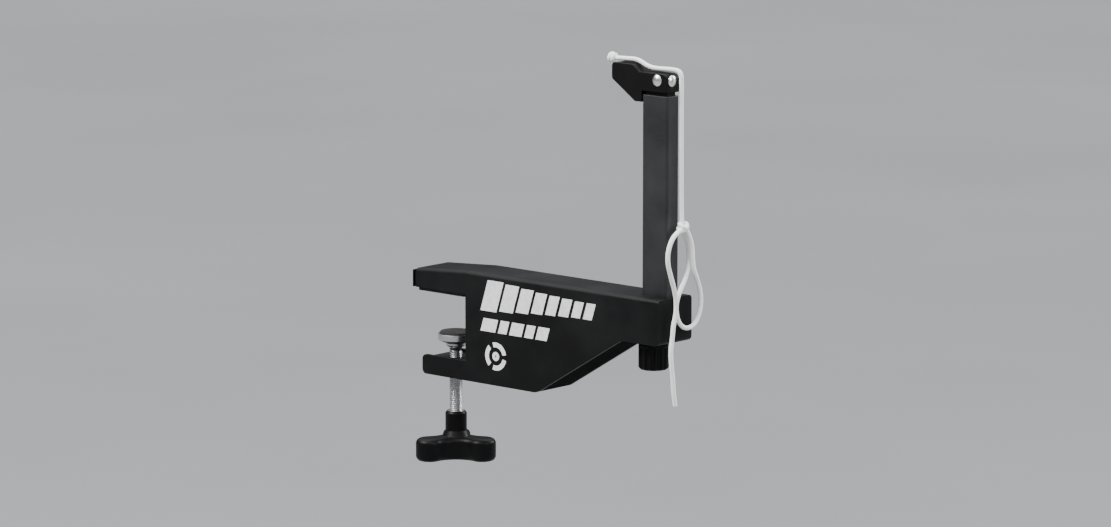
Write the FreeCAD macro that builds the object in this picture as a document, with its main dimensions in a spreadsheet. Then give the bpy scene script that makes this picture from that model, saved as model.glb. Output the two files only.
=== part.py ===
import FreeCAD, Part
import math
import os
import Sketcher
from FreeCAD import Placement, Rotation, Vector

# Table tennis net clamp: a folded steel bracket grips the table edge with a hand screw, and
# carries a rectangular post whose head, with the net cord on it, is raised by a second screw.
# Frame: origin on the clamp screw's axis at the playing surface, +X outward from the table,
# +Z up, and the bracket's middle plane at Y = 0. Millimetres.

DIMENSIONS = [
    # bracket outline, seen from the side
    ("sheet_steel", 2.0, "gauge of the folded steel"),
    ("body_half", 15.0, "half the bracket's width"),
    ("tip_x", -21.0, "inner end of the upper arm"),
    ("tip_top", 13.6, "top of the upper arm at its inner end"),
    ("web_top", 16.5, "top of the bracket"),
    ("arm_low", 2.0, "underside of the upper arm, and the top pad's thickness"),
    ("throat_x", 22.0, "back of the throat, where the table edge stops"),
    ("end_x", 176.5, "outer end of the bracket"),
    ("toe_x", 80.0, "lower end of the slope"),
    ("heel_x", 147.0, "upper end of the slope"),
    ("low_z", -51.0, "underside of the lower arm"),
    ("heel_z", -11.0, "underside of the outer end"),
    ("jaw_tip_x", -14.0, "inner end of the lower arm"),
    ("jaw_top", -39.0, "top of the lower arm"),
    ("toe_radius", 9.0, "rounding at the toe"),
    ("heel_radius", 8.0, "rounding at the heel"),
    ("fold_radius", 2.4, "outside radius of the long folds"),
    ("corner_radius", 3.0, "rounding of the arms' corners"),
    ("plate_gap", 0.05, "gap each side of a plate between the cheeks"),
    ("fit_gap", 0.1, "small gap that keeps neighbouring pieces apart"),
    ("past", 1.0, "how far a cutting tool reaches past the face it cuts"),
    ("through", 400.0, "length of a cut that goes right through"),
    # jaws and clamp screw
    ("board", 25.0, "table board thickness at rest"),
    ("jaw_plate", 4.0, "lower jaw plate thickness"),
    ("jaw_plate_top", -41.0, "top of the lower jaw plate"),
    ("lip_inset", 0.4, "jaw plate's lip inside the arm's tip"),
    ("lip_lift", 0.6, "jaw plate's lip above the arm's underside"),
    ("under_start", 12.0, "inner end of the under plate"),
    ("under_end", 154.0, "outer end of the under plate"),
    ("buffer_thick", 2.5, "table edge buffer thickness"),
    ("buffer_proud", 0.5, "how far the buffer stands into the throat"),
    ("buffer_top", -0.5, "top of the table edge buffer"),
    ("buffer_low", -38.0, "foot of the table edge buffer"),
    ("pad_inset", 1.4, "top pad's edge inside the arm's outline"),
    ("plug_flange", 1.5, "tip plug flange thickness"),
    ("plug_depth", 9.0, "how far the tip plug reaches into the arm"),
    ("plug_gap", 0.3, "tip plug's room under the arm's web"),
    ("plug_drop", 1.1, "tip plug's flange below the arm's top"),
    ("plug_round", 1.2, "rounding of the tip plug's flange"),
    ("thread_r", 4.0, "clamp screw radius, M8"),
    ("thread_gap", 0.05, "running clearance of both threads"),
    ("thread_chamfer", 0.6, "chamfer at the clamp screw's foot"),
    ("bore_gap", 0.4, "clearance of the clamp screw in the jaw plate"),
    ("nut_flats", 13.0, "weld nut across flats"),
    ("nut_high", 6.5, "weld nut height"),
    ("hex_chamfer", 0.6, "chamfer at the corners of hexagons"),
    ("pad_r", 10.0, "pressure pad rubber radius"),
    ("cup_wall", 0.9, "pressure cup wall"),
    ("cup_rim", -26.4, "top of the cup's rim"),
    ("cup_floor", -29.6, "rubber's seat in the cup"),
    ("cup_base", -31.0, "underside of the cup"),
    ("cup_chamfer", 1.0, "chamfer round the cup's base"),
    ("rubber_chamfer", 0.7, "chamfer round the pressure pad's face"),
    ("socket_r", 6.2, "crimped socket radius"),
    ("socket_low", -34.4, "underside of the crimped socket"),
    ("socket_chamfer", 0.8, "chamfer round the crimped socket's foot"),
    ("flare_high", 1.4, "height of the socket's flare"),
    ("flare_wide", 1.2, "how far the socket's flare spreads"),
    ("nose_r", 2.9, "radius of the screw's nose"),
    ("nose_long", 2.4, "length of the screw's nose under the cup"),
    ("nose_chamfer", 0.5, "chamfer at the end of the screw's nose"),
    # clamp knob
    ("hub_r", 6.6, "knob hub radius"),
    ("hub_top", -74.5, "top of the knob hub"),
    ("hub_flare", 2.0, "how far the hub spreads at its foot"),
    ("hub_flare_high", 4.0, "height of the hub's flare"),
    ("hub_sink", 0.5, "how far the hub starts inside the lobes"),
    ("crown_high", 1.4, "height of the hub's bevelled crown"),
    ("crown_in", 1.1, "how far the crown draws in"),
    ("lobe_top", -90.0, "top of the knob's lobes"),
    ("knob_low", -104.0, "underside of the knob"),
    ("lobe_r", 8.5, "lobe radius"),
    ("lobe_at", 18.5, "lobe centre's distance from the axis"),
    ("valley_at", 10.5, "valley floor's distance from the axis"),
    ("lobe_turn", 12.2, "turn of the first lobe from +X, degrees"),
    ("lobe_round", 3.2, "rounding of the lobes' edges"),
    ("insert_r", 5.2, "knob insert radius"),
    ("insert_low", -96.0, "underside of the knob insert"),
    ("screw_foot", -95.0, "foot of the clamp screw in the insert"),
    ("cap_r", 7.5, "knob cap radius"),
    ("cap_thick", 1.6, "depth of the cap's recess"),
    ("cap_inset", 0.2, "cap's face inside the knob's underside"),
    # post
    ("post_out", 174.5, "outer face of the post"),
    ("post_deep", 19.5, "post section along X"),
    ("post_wide", 11.0, "post section along Y"),
    ("post_wall", 1.5, "post wall"),
    ("post_low", -10.0, "foot of the post"),
    ("post_top", 135.4, "top of the post tube"),
    ("post_round", 1.6, "rounding of the post's long edges"),
    ("post_gap", 0.15, "gap round the post in the block and web"),
    ("block_in", 143.5, "inner end of the post block"),
    ("bolt_x", 149.2, "cross bolt position"),
    ("bolt_z", 4.0, "cross bolt height"),
    ("bolt_r", 3.0, "cross bolt radius, M6"),
    ("bolt_gap", 0.15, "clearance round the cross bolt"),
    ("bolt_flats", 10.0, "cross bolt and nut across flats"),
    ("bolt_head", 4.0, "cross bolt head height"),
    ("bolt_nut", 5.0, "cross bolt nut height"),
    ("bolt_short", 0.4, "cross bolt's end inside its nut"),
    ("nut_room", 6.3, "radius of the nut's room in the block"),
    ("washer_r", 7.5, "cross bolt washer radius"),
    ("washer_thick", 1.6, "cross bolt washer thickness"),
    # height adjuster
    ("riser_x", 160.0, "height screw axis"),
    ("riser_r", 2.5, "height screw radius, M5"),
    ("riser_top", 95.0, "top of the height screw"),
    ("riser_chamfer", 0.8, "chamfer at the top of the height screw"),
    ("bush_high", 8.0, "height screw bush height"),
    ("bush_gap", 0.02, "gap round the bush in the post"),
    ("clip_r", 3.2, "height screw clip radius"),
    ("clip_thick", 0.8, "height screw clip thickness"),
    ("thrust_r", 5.5, "thrust washer radius"),
    ("thrust_thick", 1.5, "thrust washer thickness"),
    ("thrust_gap", 0.2, "gap between the thumb knob and the thrust washer"),
    ("bar_gap", 0.25, "gap round the slider bar in the tube"),
    ("bar_low", 42.0, "foot of the slider bar"),
    ("bar_top", 146.9, "top of the slider bar"),
    ("bar_bore_top", 112.0, "top of the threaded bore in the slider bar"),
    ("thumb_r", 9.0, "height knob radius"),
    ("thumb_top", -12.0, "top of the height knob"),
    ("thumb_low", -28.0, "underside of the height knob"),
    ("thumb_floor", 2.0, "height knob's floor under the screw"),
    ("thumb_chamfer", 1.0, "chamfer round the height knob"),
    ("flute_r", 1.3, "radius of the height knob's flutes"),
    ("flute_out", 0.3, "how far outside the rim the flutes are centred"),
    ("flute_stop", 2.6, "plain band above the flutes"),
    # head
    ("head_low", 137.8, "underside of the head over the post"),
    ("head_top", 148.5, "flat top of the head"),
    ("nose_x", 131.6, "tip of the hook"),
    ("nose_low", 143.0, "underside of the hook's tip"),
    ("net_height", 152.5, "top of the hook, the net height"),
    ("step_x", 147.5, "end of the hook's raised top"),
    ("step_end", 152.8, "foot of the step"),
    ("gusset_x", 149.5, "inner end of the gusset's foot"),
    ("gusset_low", 131.0, "foot of the gusset"),
    ("gusset_gap", 0.3, "gap between the gusset and the post"),
    ("head_round", 4.0, "rounding of the head's outer corner"),
    ("socket_gap", 0.1, "gap round the slider bar in the head"),
    ("rivet_x", 166.5, "side rivet position"),
    ("rivet_y", -1.0, "end rivet position"),
    ("rivet_z", 144.6, "rivet height"),
    ("rivet_r", 1.5, "rivet shank radius"),
    ("rivet_head_r", 3.5, "rivet head radius"),
    ("rivet_dome", 1.4, "rivet head height"),
    ("rivet_reach", 5.0, "end rivet's shank length"),
    # cord
    ("cord_thick", 2.8, "net cord diameter"),
    ("knot_r", 4.4, "hanging knot radius"),
    ("stopper_r", 3.6, "stopper knot radius"),
]

# The cord in three lengths that meet in the hanging knot. First along the head and down its
# outer end, then the loop, then the loose tail.
RUN_ROUTE = [
    (129.6, 0.0, 154.4), (138.5, 0.2, 154.6), (147.0, 0.5, 154.9), (154.6, 1.0, 150.9),
    (162.6, 1.5, 150.5), (171.2, 2.0, 150.9), (178.4, 2.5, 150.3), (178.5, 2.7, 142.6),
    (178.3, 2.8, 130.0), (178.7, 2.5, 108.0), (178.4, 2.9, 78.0), (179.2, 2.6, 60.2),
]
LOOP_ROUTE = [
    (181.6, 4.4, 56.6), (181.7, 7.4, 51.4), (181.8, 9.2, 45.4), (181.6, 9.6, 38.8),
    (181.5, 10.9, 32.4), (181.3, 14.2, 26.4), (181.2, 17.0, 19.6), (181.0, 18.4, 12.2),
    (180.8, 17.0, 5.2), (180.6, 13.7, 0.0), (180.5, 8.4, -2.4), (180.4, 2.7, -1.4),
    (180.3, -1.5, 2.6), (180.2, -3.4, 8.5), (180.2, -3.1, 14.7), (180.1, -0.3, 20.2),
    (179.8, 3.7, 25.0), (179.2, 7.6, 30.2), (178.6, 9.9, 36.6), (178.4, 10.1, 43.4),
    (178.4, 8.2, 49.9), (178.5, 4.8, 55.6),
]
TAIL_ROUTE = [
    (181.6, -0.6, 57.8), (183.0, -6.6, 56.2), (183.9, -12.0, 53.0), (184.3, -15.7, 46.6),
    (184.3, -15.9, 39.4), (184.2, -13.0, 31.6), (184.2, -9.9, 24.0), (184.3, -8.0, 16.2),
    (184.5, -8.6, 8.6), (184.5, -11.0, 1.8), (184.4, -11.5, -5.2), (184.2, -12.9, -12.6),
    (184.1, -12.1, -20.6), (184.0, -10.6, -29.2), (183.9, -9.9, -38.0), (183.8, -8.0, -46.6),
]
HANGING_KNOT = (180.0, 2.6, 58.6)
STOPPER_KNOT = (127.4, 0.0, 154.4)

KNOB_LOBES = 3
KNOB_FLUTES = 14
ARC_SHARE = 0.45  # part of the shorter run that an arc of the cord takes up

SIZE = {name: number for name, number, note in DIMENSIONS}
AXIS_TURN = {
    "x": Rotation(Vector(0, 1, 0), 90),
    "y": Rotation(Vector(1, 0, 0), -90),
    "z": Rotation(),
}

doc = FreeCAD.newDocument("net_clamp")
pieces = {}


def fill_sheet():
    """Write every driving dimension to the sheet, with its alias and a note."""
    sheet = doc.addObject("Spreadsheet::Sheet", "dims")
    for row, (name, number, note) in enumerate(DIMENSIONS, start=1):
        sheet.set(f"A{row}", name)
        sheet.set(f"B{row}", str(number))
        sheet.set(f"C{row}", note)
        sheet.setAlias(f"B{row}", name)
    doc.recompute()


def d(name):
    """The expression that reads one dimension from the sheet."""
    return f"dims.{name}"


def minus(first, second):
    return f"({first}) - ({second})"


def plus(first, second):
    return f"({first}) + ({second})"


def negative(first):
    return f"-({first})"


def half(first):
    return f"({first}) / 2"


def keep(node, solid):
    """Name a finished sub-part after its node."""
    solid.Label = node
    pieces[node] = solid
    return solid


# ---- Part primitives bound to the sheet ----

def box(low, high):
    """A box between two corners, each given as three expressions."""
    solid = doc.addObject("Part::Box", "block")
    for side, letter, start, stop in zip(("Length", "Width", "Height"), "xyz", low, high):
        solid.setExpression(side, minus(stop, start))
        solid.setExpression(f".Placement.Base.{letter}", start)
    return solid


def rod(axis, centre, start, stop, radius):
    """A cylinder along an axis; centre holds the two other coordinates in X, Y, Z order."""
    solid = doc.addObject("Part::Cylinder", "rod")
    solid.Placement = Placement(Vector(), AXIS_TURN[axis])
    solid.setExpression("Radius", radius)
    solid.setExpression("Height", minus(stop, start))
    others = [letter for letter in "xyz" if letter != axis]
    for letter, place in zip(others, centre):
        solid.setExpression(f".Placement.Base.{letter}", place)
    solid.setExpression(f".Placement.Base.{axis}", start)
    return solid


def bore(centre, low, high, radius, axis="z"):
    """A cylinder that cuts past both of the faces it is given."""
    return rod(axis, centre, minus(low, d("past")), plus(high, d("past")), radius)


def hexagon(axis, centre, start, stop, flats):
    """A hexagonal prism along an axis, sized across its flats, with chamfered corners."""
    circumradius = f"({flats}) / sqrt(3)"
    prism = doc.addObject("Part::Prism", "prism")
    prism.Polygon = 6
    prism.Placement = Placement(Vector(), AXIS_TURN[axis])
    prism.setExpression("Circumradius", circumradius)
    prism.setExpression("Height", minus(stop, start))
    others = [letter for letter in "xyz" if letter != axis]
    for letter, place in zip(others, centre):
        prism.setExpression(f".Placement.Base.{letter}", place)
    prism.setExpression(f".Placement.Base.{axis}", start)
    barrel = rod(axis, centre, start, stop, circumradius)
    doc.recompute()
    chamfered = doc.addObject("Part::Common", "hexagon")
    chamfered.Base = prism
    chamfered.Tool = dress("Part::Chamfer", barrel, SIZE["hex_chamfer"], is_circle)
    return chamfered


def fuse(solids):
    joined = doc.addObject("Part::MultiFuse", "joined")
    joined.Shapes = solids
    joined.Refine = True
    return joined


def cut(solid, tools):
    """The solid with every tool taken away."""
    remains = doc.addObject("Part::Cut", "remains")
    remains.Base = solid
    remains.Tool = tools[0] if len(tools) == 1 else fuse(tools)
    remains.Refine = True
    return remains


# ---- PartDesign helpers ----

def new_body(node):
    body = doc.addObject("PartDesign::Body", node)
    return keep(node, body)


def origin_plane(body, role):
    for feature in body.Origin.OriginFeatures:
        if feature.Role == role:
            return feature
    raise ValueError(role)


def new_sketch(body, role):
    """An empty sketch on one of the body's own origin planes."""
    sketch = body.newObject("Sketcher::SketchObject", body.Name + "_sketch")
    sketch.AttachmentSupport = [(origin_plane(body, role), "")]
    sketch.MapMode = "FlatFace"
    return sketch


def place_corner(sketch, line, across, up):
    """Hold the start of a line at two coordinates read from the sheet."""
    for kind, expression in (("DistanceX", across), ("DistanceY", up)):
        index = sketch.addConstraint(Sketcher.Constraint(kind, line, 1, 1.0))
        sketch.setExpression(f"Constraints[{index}]", expression)


def outline(body, role, corners):
    """A closed outline through corners that are pairs of expressions."""
    sketch = new_sketch(body, role)
    count = len(corners)
    ring = [
        Vector(math.cos(2 * math.pi * i / count), math.sin(2 * math.pi * i / count), 0)
        for i in range(count)
    ]
    for i in range(count):
        sketch.addGeometry(Part.LineSegment(ring[i], ring[(i + 1) % count]))
    for i in range(count):
        sketch.addConstraint(Sketcher.Constraint("Coincident", i, 2, (i + 1) % count, 1))
    for i, (across, up) in enumerate(corners):
        place_corner(sketch, i, across, up)
    doc.recompute()
    return sketch


def rectangle(body, role, low, high):
    """A rectangle between two corners of two expressions each."""
    corners = [(low[0], low[1]), (high[0], low[1]), (high[0], high[1]), (low[0], high[1])]
    return outline(body, role, corners)


def circle(body, role, across, up, radius):
    sketch = new_sketch(body, role)
    sketch.addGeometry(Part.Circle(Vector(), Vector(0, 0, 1), 1.0))
    place = (("DistanceX", across), ("DistanceY", up))
    for kind, expression in place:
        index = sketch.addConstraint(Sketcher.Constraint(kind, 0, 3, 1.0))
        sketch.setExpression(f"Constraints[{index}]", expression)
    index = sketch.addConstraint(Sketcher.Constraint("Radius", 0, 1.0))
    sketch.setExpression(f"Constraints[{index}]", radius)
    doc.recompute()
    return sketch


def pad_across(body, sketch, length):
    """Pad a sketch equally to both sides."""
    pad = body.newObject("PartDesign::Pad", body.Name + "_pad")
    pad.Profile = sketch
    pad.Midplane = True
    pad.setExpression("Length", length)
    doc.recompute()
    return pad


def pocket_across(body, sketch, length):
    """Cut a sketch equally to both sides."""
    before = body.Shape.Volume
    pocket = body.newObject("PartDesign::Pocket", body.Name + "_pocket")
    pocket.Profile = sketch
    pocket.Midplane = True
    pocket.setExpression("Length", length)
    doc.recompute()
    assert body.Shape.Volume < before - 1.0, body.Name
    return pocket


def pocket_one_way(body, sketch, length, turned=False):
    """Cut a sketch to one side: +Y from the XZ plane, -X from the YZ plane, or turned about."""
    before = body.Shape.Volume
    pocket = body.newObject("PartDesign::Pocket", body.Name + "_pocket")
    pocket.Profile = sketch
    pocket.Reversed = turned
    pocket.setExpression("Length", length)
    doc.recompute()
    assert body.Shape.Volume < before - 1.0, body.Name
    return pocket


def revolve(body, sketch):
    """Turn a sketch on the XZ plane round the body's Z axis."""
    turned = body.newObject("PartDesign::Revolution", body.Name + "_revolution")
    turned.Profile = sketch
    turned.ReferenceAxis = (sketch, ["V_Axis"])
    turned.Angle = 360.0
    doc.recompute()
    return turned


def edges_where(shape, test):
    """Numbers of the shape's edges for which the test of (edge, middle) holds."""
    numbers = []
    for number, edge in enumerate(shape.Edges, start=1):
        middle = edge.valueAt((edge.FirstParameter + edge.LastParameter) / 2)
        if test(edge, middle):
            numbers.append(number)
    return numbers


def round_edges(body, radius, test):
    """Fillet the edges of the body's last feature that pass the test."""
    base = body.Tip
    fillet = body.newObject("PartDesign::Fillet", body.Name + "_fillet")
    fillet.Base = (base, [f"Edge{number}" for number in edges_where(base.Shape, test)])
    fillet.setExpression("Radius", radius)
    doc.recompute()
    return fillet


def dress(kind, base, size, test):
    """A Part::Fillet or Part::Chamfer of one size on the edges that pass the test."""
    dressed = doc.addObject(kind, "dressed")
    dressed.Base = base
    dressed.Edges = [(number, size, size) for number in edges_where(base.Shape, test)]
    return dressed


def is_circle(edge, middle):
    return isinstance(edge.Curve, Part.Circle)


def runs_along(edge, axis):
    """Whether a straight edge runs along an axis."""
    if not isinstance(edge.Curve, Part.Line):
        return False
    return abs(edge.Curve.Direction.dot(axis)) > 0.999


def near(place, *targets):
    """Whether a point's X and Z are those of any target."""
    return any(abs(place.x - x) < 0.01 and abs(place.z - z) < 0.01 for x, z in targets)


ON_AXIS = ("0", "0")
ON_RISER = ("dims.riser_x", "0")
ALONG_Y = Vector(0, 1, 0)
ALONG_Z = Vector(0, 0, 1)
INNER_HALF = minus(d("body_half"), d("sheet_steel"))
PLATE_HALF = minus(INNER_HALF, d("plate_gap"))
BUFFER_BACK = "dims.throat_x - dims.buffer_proud + dims.buffer_thick"
SHOULDER = "dims.cup_base - dims.nose_long"
SLOPE_SHIFT = (
    "dims.sheet_steel * tan(atan((dims.heel_z - dims.low_z) / (dims.heel_x - dims.toe_x)) / 2)"
)


# ---- bracket ----

def bracket_channel():
    """Folded channel: top web, two cheeks and an end tab, open underneath."""
    body = new_body("bracket_channel")
    side = outline(body, "XZ_Plane", [
        (d("tip_x"), d("arm_low")),
        (d("tip_x"), d("tip_top")),
        (d("throat_x"), d("web_top")),
        (d("end_x"), d("web_top")),
        (d("end_x"), d("heel_z")),
        (d("heel_x"), d("heel_z")),
        (d("toe_x"), d("low_z")),
        (d("jaw_tip_x"), d("low_z")),
        (d("jaw_tip_x"), d("jaw_top")),
        (d("throat_x"), d("jaw_top")),
        (d("throat_x"), d("arm_low")),
    ])
    pad_across(body, side, "2 * dims.body_half")
    toe = (SIZE["toe_x"], SIZE["low_z"])
    heel = (SIZE["heel_x"], SIZE["heel_z"])
    round_edges(body, d("toe_radius"), lambda e, p: runs_along(e, ALONG_Y) and near(p, toe))
    round_edges(body, d("heel_radius"), lambda e, p: runs_along(e, ALONG_Y) and near(p, heel))
    corners = [
        (SIZE["tip_x"], SIZE["tip_top"]),
        (SIZE["jaw_tip_x"], SIZE["low_z"]),
        (SIZE["jaw_tip_x"], SIZE["jaw_top"]),
        (SIZE["end_x"], SIZE["heel_z"]),
    ]
    round_edges(
        body, d("corner_radius"), lambda e, p: runs_along(e, ALONG_Y) and near(p, *corners)
    )
    top_edge = SIZE["tip_top"] + 0.01
    half_width = SIZE["body_half"]
    round_edges(
        body, d("fold_radius"),
        lambda e, p: abs(abs(p.y) - half_width) < 0.01 and p.z > top_edge
        and not runs_along(e, ALONG_Z),
    )
    under_tip = minus(d("tip_top"), d("sheet_steel"))
    under_web = minus(d("web_top"), d("sheet_steel"))
    inside = outline(body, "XZ_Plane", [
        (minus(d("tip_x"), d("past")), under_tip),
        (d("throat_x"), under_web),
        (minus(d("end_x"), d("sheet_steel")), under_web),
        (minus(d("end_x"), d("sheet_steel")), minus(d("low_z"), d("past"))),
        (minus(d("tip_x"), d("past")), minus(d("low_z"), d("past"))),
    ])
    pocket_across(body, inside, minus("2 * dims.body_half", "2 * dims.sheet_steel"))
    post_half = plus(half(d("post_wide")), d("post_gap"))
    hole = rectangle(
        body, "XY_Plane",
        (minus(minus(d("post_out"), d("post_deep")), d("post_gap")), negative(post_half)),
        (d("post_out"), post_half),
    )
    pocket_across(body, hole, d("through"))
    bolt = circle(body, "XZ_Plane", d("bolt_x"), d("bolt_z"), plus(d("bolt_r"), d("bolt_gap")))
    pocket_one_way(body, bolt, d("through"))


def under_plate():
    """Folded plate welded between the cheeks along the bottom, the slope and the heel."""
    body = new_body("under_plate")
    gauge = d("sheet_steel")
    end = d("under_end")
    side = outline(body, "XZ_Plane", [
        (d("under_start"), d("low_z")),
        (d("toe_x"), d("low_z")),
        (d("heel_x"), d("heel_z")),
        (end, d("heel_z")),
        (end, plus(d("heel_z"), gauge)),
        (minus(d("heel_x"), SLOPE_SHIFT), plus(d("heel_z"), gauge)),
        (minus(d("toe_x"), SLOPE_SHIFT), plus(d("low_z"), gauge)),
        (d("under_start"), plus(d("low_z"), gauge)),
    ])
    pad_across(body, side, f"2 * ({PLATE_HALF})")
    outer = (SIZE["toe_x"], SIZE["low_z"])
    inner_heel = (SIZE["heel_x"], SIZE["heel_z"])
    round_edges(body, d("toe_radius"), lambda e, p: runs_along(e, ALONG_Y) and near(p, outer))
    round_edges(
        body, d("heel_radius"), lambda e, p: runs_along(e, ALONG_Y) and near(p, inner_heel)
    )


def throat_plate():
    """Welded back wall of the throat."""
    inset = plus(d("sheet_steel"), d("fit_gap"))
    keep("throat_plate", box(
        (BUFFER_BACK, negative(PLATE_HALF), plus(d("low_z"), inset)),
        (plus(BUFFER_BACK, d("sheet_steel")), PLATE_HALF, minus(d("web_top"), inset)),
    ))


def edge_buffer():
    """Rubber strip that the table edge stops against."""
    front = minus(d("throat_x"), d("buffer_proud"))
    keep("edge_buffer", box(
        (front, negative(PLATE_HALF), d("buffer_low")), (BUFFER_BACK, PLATE_HALF, d("buffer_top"))
    ))


def top_jaw_plate():
    """Welded plate that closes the upper arm."""
    front = plus(plus(d("tip_x"), d("plug_depth")), d("fit_gap"))
    keep("top_jaw_plate", box(
        (front, negative(PLATE_HALF), d("arm_low")),
        (minus(BUFFER_BACK, d("fit_gap")), PLATE_HALF, plus(d("arm_low"), d("sheet_steel"))),
    ))


def top_jaw_pad():
    """Rubber pad under the upper arm, resting on the playing surface."""
    body = new_body("top_jaw_pad")
    pad_half = minus(d("body_half"), d("pad_inset"))
    plan = rectangle(
        body, "XY_Plane",
        (plus(d("tip_x"), d("pad_inset")), negative(pad_half)),
        (minus(d("throat_x"), d("pad_inset")), pad_half),
    )
    pad = body.newObject("PartDesign::Pad", "top_jaw_pad_pad")
    pad.Profile = plan
    pad.setExpression("Length", d("arm_low"))
    doc.recompute()
    round_edges(body, d("corner_radius"), lambda e, p: runs_along(e, ALONG_Z))


def tip_plug():
    """Moulded plug in the inner end of the upper arm."""
    flange = box(
        (minus(d("tip_x"), d("plug_flange")), negative(d("body_half")), d("arm_low")),
        (d("tip_x"), d("body_half"), minus(d("tip_top"), d("plug_drop"))),
    )
    core_top = minus(minus(d("tip_top"), d("sheet_steel")), d("plug_gap"))
    core = box(
        (d("tip_x"), negative(PLATE_HALF), d("arm_low")),
        (plus(d("tip_x"), d("plug_depth")), PLATE_HALF, core_top),
    )
    plug = fuse([flange, core])
    doc.recompute()
    face_x = SIZE["tip_x"] - SIZE["plug_flange"]
    keep("tip_plug", dress(
        "Part::Fillet", plug, SIZE["plug_round"], lambda e, p: abs(p.x - face_x) < 0.01
    ))


def lower_jaw_plate():
    """Thick jaw plate with a lip that closes the lower arm's tip, bored for the screw."""
    top = d("jaw_plate_top")
    under = minus(top, d("jaw_plate"))
    front = plus(d("jaw_tip_x"), d("lip_inset"))
    back = minus(BUFFER_BACK, d("fit_gap"))
    plate = box((front, negative(PLATE_HALF), under), (back, PLATE_HALF, top))
    lip = box(
        (front, negative(PLATE_HALF), plus(d("low_z"), d("lip_lift"))),
        (plus(front, d("sheet_steel")), PLATE_HALF, under),
    )
    hole = bore(ON_AXIS, under, top, plus(d("thread_r"), d("bore_gap")))
    keep("lower_jaw_plate", cut(fuse([plate, lip]), [hole]))


def jaw_nut():
    """Weld nut under the jaw plate that carries the clamp screw."""
    top = minus(d("jaw_plate_top"), d("jaw_plate"))
    low = minus(top, d("nut_high"))
    prism = hexagon("z", ON_AXIS, low, top, d("nut_flats"))
    thread = bore(ON_AXIS, low, top, plus(d("thread_r"), d("thread_gap")))
    keep("jaw_nut", cut(prism, [thread]))


# ---- clamp screw and its pressure pad ----

def pad_cup():
    """Pressed cup that holds the rubber disc."""
    body = new_body("pad_cup")
    outer = plus(d("pad_r"), d("cup_wall"))
    side = outline(body, "XZ_Plane", [
        ("0", d("cup_base")),
        (minus(outer, d("cup_chamfer")), d("cup_base")),
        (outer, plus(d("cup_base"), d("cup_chamfer"))),
        (outer, d("cup_rim")),
        (d("pad_r"), d("cup_rim")),
        (d("pad_r"), d("cup_floor")),
        ("0", d("cup_floor")),
    ])
    revolve(body, side)


def pad_rubber():
    """Rubber disc that presses on the table's underside."""
    body = new_body("pad_rubber")
    face = negative(d("board"))
    outer = minus(d("pad_r"), d("plate_gap"))
    side = outline(body, "XZ_Plane", [
        ("0", d("cup_floor")),
        (outer, d("cup_floor")),
        (outer, minus(face, d("rubber_chamfer"))),
        (minus(outer, d("rubber_chamfer")), face),
        ("0", face),
    ])
    revolve(body, side)


def pad_socket():
    """Crimped socket under the cup, in which the screw's nose turns."""
    body = new_body("pad_socket")
    gap = d("thread_gap")
    stem = plus(d("thread_r"), gap)
    nose = plus(d("nose_r"), gap)
    side = outline(body, "XZ_Plane", [
        (nose, d("cup_base")),
        (nose, plus(SHOULDER, gap)),
        (stem, plus(SHOULDER, gap)),
        (stem, d("socket_low")),
        (minus(d("socket_r"), d("socket_chamfer")), d("socket_low")),
        (d("socket_r"), plus(d("socket_low"), d("socket_chamfer"))),
        (d("socket_r"), minus(d("cup_base"), d("flare_high"))),
        (plus(d("socket_r"), d("flare_wide")), d("cup_base")),
    ])
    revolve(body, side)


def clamp_screw():
    """M8 clamp screw with a plain nose at its upper end."""
    body = new_body("clamp_screw")
    foot = d("screw_foot")
    tip = minus(d("cup_base"), d("fit_gap"))
    side = outline(body, "XZ_Plane", [
        ("0", foot),
        (minus(d("thread_r"), d("thread_chamfer")), foot),
        (d("thread_r"), plus(foot, d("thread_chamfer"))),
        (d("thread_r"), SHOULDER),
        (d("nose_r"), SHOULDER),
        (d("nose_r"), minus(tip, d("nose_chamfer"))),
        (minus(d("nose_r"), d("nose_chamfer")), tip),
        ("0", tip),
    ])
    revolve(body, side)


def knob_blank():
    """Three lobes joined by concave valleys, tangent all round, with a hub on top."""
    reach = d("lobe_at")
    lobe = d("lobe_r")
    floor = d("valley_at")
    # Radius of the valley arcs: each touches two lobes and has its floor at valley_at.
    radius = (
        f"({lobe} ^ 2 - {reach} ^ 2 - {floor} ^ 2 + {reach} * {floor})"
        f" / (2 * {floor} - {reach} - 2 * {lobe})"
    )
    valley = f"({floor} + {radius})"
    # Distance from the axis to the point where a lobe's arc meets a valley's arc.
    share = f"({lobe} / ({lobe} + {radius}))"
    meet_x = f"({reach} + {share} * ({valley} / 2 - {reach}))"
    meet_y = f"({share} * {valley} * sqrt(3) / 2)"
    core = rod("z", ON_AXIS, d("knob_low"), d("lobe_top"), f"sqrt({meet_x} ^ 2 + {meet_y} ^ 2)")
    lobes = []
    valleys = []
    for i in range(KNOB_LOBES):
        lobe_turn = f"((dims.lobe_turn + 360 * {i} / {KNOB_LOBES}) * 1 deg)"
        valley_turn = f"((dims.lobe_turn + 360 * ({i} + 0.5) / {KNOB_LOBES}) * 1 deg)"
        lobe_centre = (f"{reach} * cos({lobe_turn})", f"{reach} * sin({lobe_turn})")
        valley_centre = (f"{valley} * cos({valley_turn})", f"{valley} * sin({valley_turn})")
        lobes.append(rod("z", lobe_centre, d("knob_low"), d("lobe_top"), lobe))
        valleys.append(bore(valley_centre, d("knob_low"), d("lobe_top"), radius))
    return fuse([cut(core, valleys)] + lobes)


def cone(centre, low, height, low_radius, high_radius):
    """An upright cone frustum."""
    solid = doc.addObject("Part::Cone", "cone")
    solid.setExpression("Radius1", low_radius)
    solid.setExpression("Radius2", high_radius)
    solid.setExpression("Height", height)
    solid.setExpression(".Placement.Base.x", centre[0])
    solid.setExpression(".Placement.Base.y", centre[1])
    solid.setExpression(".Placement.Base.z", low)
    return solid


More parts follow.
